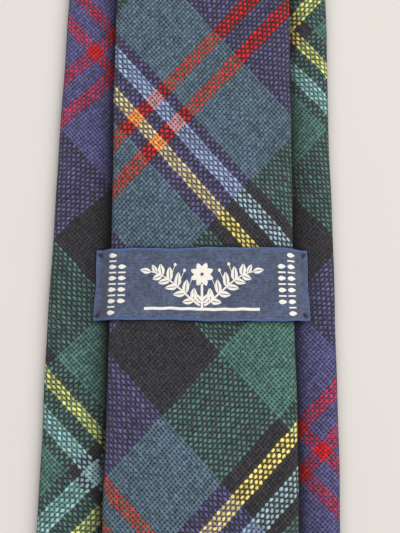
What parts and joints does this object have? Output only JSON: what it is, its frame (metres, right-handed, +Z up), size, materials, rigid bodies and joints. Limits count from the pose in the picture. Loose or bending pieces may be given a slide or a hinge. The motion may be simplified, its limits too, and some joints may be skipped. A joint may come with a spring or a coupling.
{
  "type": "necktie",
  "caption": "Bias-cut tartan wool necktie folded at the neck, its tail threaded through a woven keeper label on the back of the wide blade.",
  "frame": {"origin": "middle of the bottom of the whole folded tie as it lies on its front face", "axes": "+Y along the tie from the pointed tips towards the neck fold, +Z up from the front face to the back with the tail uppermost, +X to the right seen from above"},
  "size_m": [0.088, 0.758, 0.022],
  "materials": {
    "tartan_wool": "matte bias-cut plain-weave wool tartan: indigo, charcoal and green grounds with red, yellow and light blue stripes",
    "interlining": "brushed natural wool interlining",
    "lining_satin": "navy satin-weave tipping",
    "label_ribbon": "woven navy ribbon with brighter blue selvedges and a cream woven ornament",
    "sewing_thread": "dark navy sewing thread"
  },
  "bodies": {
    "front_blade": {"front_shell": "tartan_wool", "front_interlining": "interlining", "front_lining_upper": "lining_satin", "front_slip_stitch": "sewing_thread", "front_reserve_loop": "sewing_thread", "front_bar_tack": "sewing_thread", "keeper_label": "label_ribbon", "keeper_tacks": "sewing_thread"},
    "front_tip": {"front_tip_shell": "tartan_wool", "front_tip_interlining": "interlining", "front_tip_lining": "lining_satin"},
    "neck_front": {"neck_front_shell": "tartan_wool", "neck_front_interlining": "interlining", "neck_front_stitch": "sewing_thread", "front_gusset_seam": "sewing_thread"},
    "neck_tail": {"neck_tail_shell": "tartan_wool", "neck_tail_interlining": "interlining", "neck_tail_stitch": "sewing_thread"},
    "tail_leg": {"tail_leg_shell": "tartan_wool", "tail_leg_interlining": "interlining", "tail_leg_stitch": "sewing_thread", "tail_gusset_seam": "sewing_thread"},
    "tail_bridge": {"tail_bridge_shell": "tartan_wool", "tail_bridge_interlining": "interlining", "tail_bridge_stitch": "sewing_thread"},
    "tail_lower": {"tail_shell": "tartan_wool", "tail_interlining": "interlining", "tail_lining_upper": "lining_satin", "tail_slip_stitch": "sewing_thread", "tail_reserve_loop": "sewing_thread", "tail_bar_tack": "sewing_thread"},
    "tail_tip": {"tail_tip_shell": "tartan_wool", "tail_tip_interlining": "interlining", "tail_tip_lining": "lining_satin"}
  },
  "joints": [
    {"name": "neck_loop_open", "type": "hinge", "parent": "front_blade", "child": "neck_front", "pos_m": [0, 0.2135, 0.0037], "axis": [1, 0, 0], "range_deg": [0, 50]},
    {"name": "neck_fold_open", "type": "hinge", "parent": "neck_front", "child": "neck_tail", "pos_m": [0, 0.379, 0.011], "axis": [-1, 0, 0], "range_deg": [0, 50]},
    {"name": "neck_upper_bend", "type": "hinge", "parent": "neck_tail", "child": "tail_leg", "pos_m": [0, 0.2135, 0.0149], "axis": [1, 0, 0], "range_deg": [0, 50]},
    {"name": "tail_rise_bend", "type": "hinge", "parent": "tail_leg", "child": "tail_bridge", "pos_m": [0, 0.048, 0.0076], "axis": [-1, 0, 0], "range_deg": [0, 50]},
    {"name": "tail_slide", "type": "slide", "parent": "tail_bridge", "child": "tail_lower", "axis": [0.0108, -0.9999, 0], "range_m": [0, 0.015]},
    {"name": "tail_tip_lift", "type": "hinge", "parent": "tail_lower", "child": "tail_tip", "pos_m": [0.00351, -0.229, 0.0076], "axis": [-1, 0, 0], "range_deg": [0, 80]},
    {"name": "front_tip_lift", "type": "hinge", "parent": "front_blade", "child": "front_tip", "pos_m": [0, -0.307, 0.0037], "axis": [-1, 0, 0], "range_deg": [0, 75]}
  ],
  "couplings": [
    {"joint": "neck_fold_open", "follows": "neck_loop_open", "ratio": 1},
    {"joint": "neck_upper_bend", "follows": "neck_loop_open", "ratio": 1},
    {"joint": "tail_rise_bend", "follows": "neck_loop_open", "ratio": 1}
  ]
}
